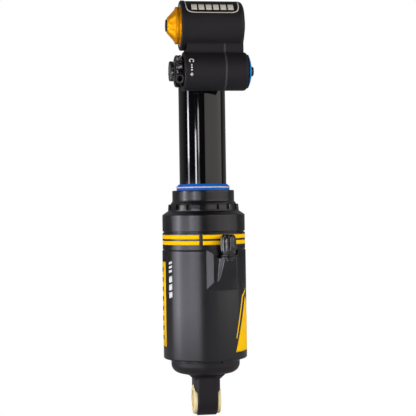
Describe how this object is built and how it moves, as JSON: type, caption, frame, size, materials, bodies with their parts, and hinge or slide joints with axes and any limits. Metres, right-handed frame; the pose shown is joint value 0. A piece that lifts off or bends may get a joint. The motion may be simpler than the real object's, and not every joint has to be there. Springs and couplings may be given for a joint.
{
  "type": "rear shock absorber",
  "caption": "Air-sprung rear shock with flanged eyes at both ends, a crosswise oil reservoir, an adjustable compression barrel and a swivelling air can.",
  "frame": {"origin": "centre of the lower eye's bore, midway between its bushing flanges", "axes": "+Z from the lower eye to the upper eye, +X along the eye bolts towards the compression dial, -Y towards the reservoir and valve barrel"},
  "size_m": [0.0605, 0.0662, 0.2807],
  "materials": {
    "black_anodised": "black anodised, fine bead-blasted satin",
    "satin_black_anodised": "black anodised, smooth satin, printed stripes",
    "gloss_hard_anodised": "hard anodised black, polished",
    "bare_aluminium": "turned, clear anodised",
    "gold_anodised": "gold anodised, turned",
    "blue_anodised": "blue anodised",
    "steel": "bright",
    "chromed_steel": "polished",
    "brass": "machined",
    "nitrile": "moulded",
    "elastomer": "moulded",
    "blue_elastomer": "moulded, smooth",
    "bushing_polymer": "moulded, low-friction polymer",
    "glide_polymer": "filled PTFE",
    "black_plastic": "moulded"
  },
  "bodies": {
    "damper": {"head_body": "black_anodised", "damper_tube": "gloss_hard_anodised", "inner_tube": "bare_aluminium", "rod_guide": "bare_aluminium", "rod_seal": "nitrile", "air_piston": "bare_aluminium", "air_piston_seal": "nitrile", "glide_band_lower": "glide_polymer", "glide_band_upper": "glide_polymer", "top_out_bumper": "nitrile", "upper_bushing_left": "bushing_polymer", "upper_bushing_right": "bushing_polymer", "compression_valve": "bare_aluminium", "rebound_valve": "bare_aluminium", "rebound_bezel": "gold_anodised", "charge_plug": "black_anodised"},
    "rod": {"end_cap": "black_anodised", "lower_bushing_left": "bushing_polymer", "lower_bushing_right": "bushing_polymer", "wire_ring": "steel", "flange_seal": "nitrile", "piston_rod": "chromed_steel", "main_piston": "bare_aluminium", "piston_band": "glide_polymer", "piston_shims": "steel", "piston_nut": "steel", "bottom_out_bumper": "elastomer"},
    "can": {"outer_can": "satin_black_anodised", "retaining_ring": "steel", "inner_sleeve": "bare_aluminium", "lock_ring": "black_anodised", "seal_head": "black_anodised", "guide_bushing": "glide_polymer", "air_seal": "nitrile", "dust_wiper": "blue_elastomer", "wiper_spring": "steel", "air_valve": "brass"},
    "valve_pin": {"valve_pin": "brass"},
    "cap_gasket": {"cap_gasket": "nitrile"},
    "valve_cap": {"valve_cap": "black_plastic"},
    "floating_piston": {"floating_piston": "bare_aluminium", "floating_piston_seal": "nitrile"},
    "lever": {"lever": "black_anodised", "lever_spool": "steel"},
    "threshold_dial": {"threshold_dial": "black_anodised"},
    "compression_dial": {"compression_dial": "blue_anodised", "dial_screw": "black_plastic"},
    "compression_needle": {"compression_needle": "steel"},
    "rebound_knob": {"rebound_knob": "gold_anodised", "knob_screw": "steel"},
    "rebound_needle": {"rebound_needle": "steel"}
  },
  "joints": [
    {"name": "stroke", "type": "slide", "parent": "damper", "child": "rod", "axis": [0, 0, 1], "range_m": [0, 0.06], "stiffness_N_per_m": 20000},
    {"name": "can_swivel", "type": "hinge", "parent": "rod", "child": "can", "pos_m": [0, 0, 0.06], "axis": [0, 0, 1], "continuous": true},
    {"name": "valve_press", "type": "slide", "parent": "can", "child": "valve_pin", "axis": [0, 0, -1], "range_m": [0, 0.001], "stiffness_N_per_m": 300},
    {"name": "cap_lift", "type": "slide", "parent": "can", "child": "cap_gasket", "axis": [0, 0, 1], "range_m": [0, 0.0085]},
    {"name": "cap_turn", "type": "hinge", "parent": "cap_gasket", "child": "valve_cap", "pos_m": [0.01191, -0.03185, 0.108], "axis": [0, 0, 1], "range_deg": [0, 3870]},
    {"name": "floating_piston_slide", "type": "slide", "parent": "damper", "child": "floating_piston", "axis": [1, 0, 0], "range_m": [0, 0.0115]},
    {"name": "lever_turn", "type": "hinge", "parent": "damper", "child": "lever", "pos_m": [0, -0.024, 0.222], "axis": [1, 0, 0], "range_deg": [-90, 0]},
    {"name": "threshold_turn", "type": "hinge", "parent": "lever", "child": "threshold_dial", "pos_m": [0, -0.024, 0.222], "axis": [1, 0, 0], "range_deg": [0, 270]},
    {"name": "compression_turn", "type": "hinge", "parent": "damper", "child": "compression_dial", "pos_m": [0, -0.024, 0.222], "axis": [1, 0, 0], "range_deg": [0, 337.5]},
    {"name": "compression_needle_slide", "type": "slide", "parent": "damper", "child": "compression_needle", "axis": [-1, 0, 0], "range_m": [0, 0.001]},
    {"name": "rebound_turn", "type": "hinge", "parent": "damper", "child": "rebound_knob", "pos_m": [0, -0.02, 0.253], "axis": [1, 0, 0], "range_deg": [0, 270]},
    {"name": "rebound_needle_slide", "type": "slide", "parent": "damper", "child": "rebound_needle", "axis": [1, 0, 0], "range_m": [0, 0.0005]}
  ],
  "couplings": [
    {"joint": "floating_piston_slide", "follows": "stroke", "ratio": 0.18108},
    {"joint": "compression_needle_slide", "follows": "compression_turn", "m_per_rad": 0.00016128},
    {"joint": "rebound_needle_slide", "follows": "rebound_turn", "m_per_rad": 0.0001008},
    {"joint": "cap_turn", "follows": "cap_lift", "rad_per_m": 7913.3}
  ]
}
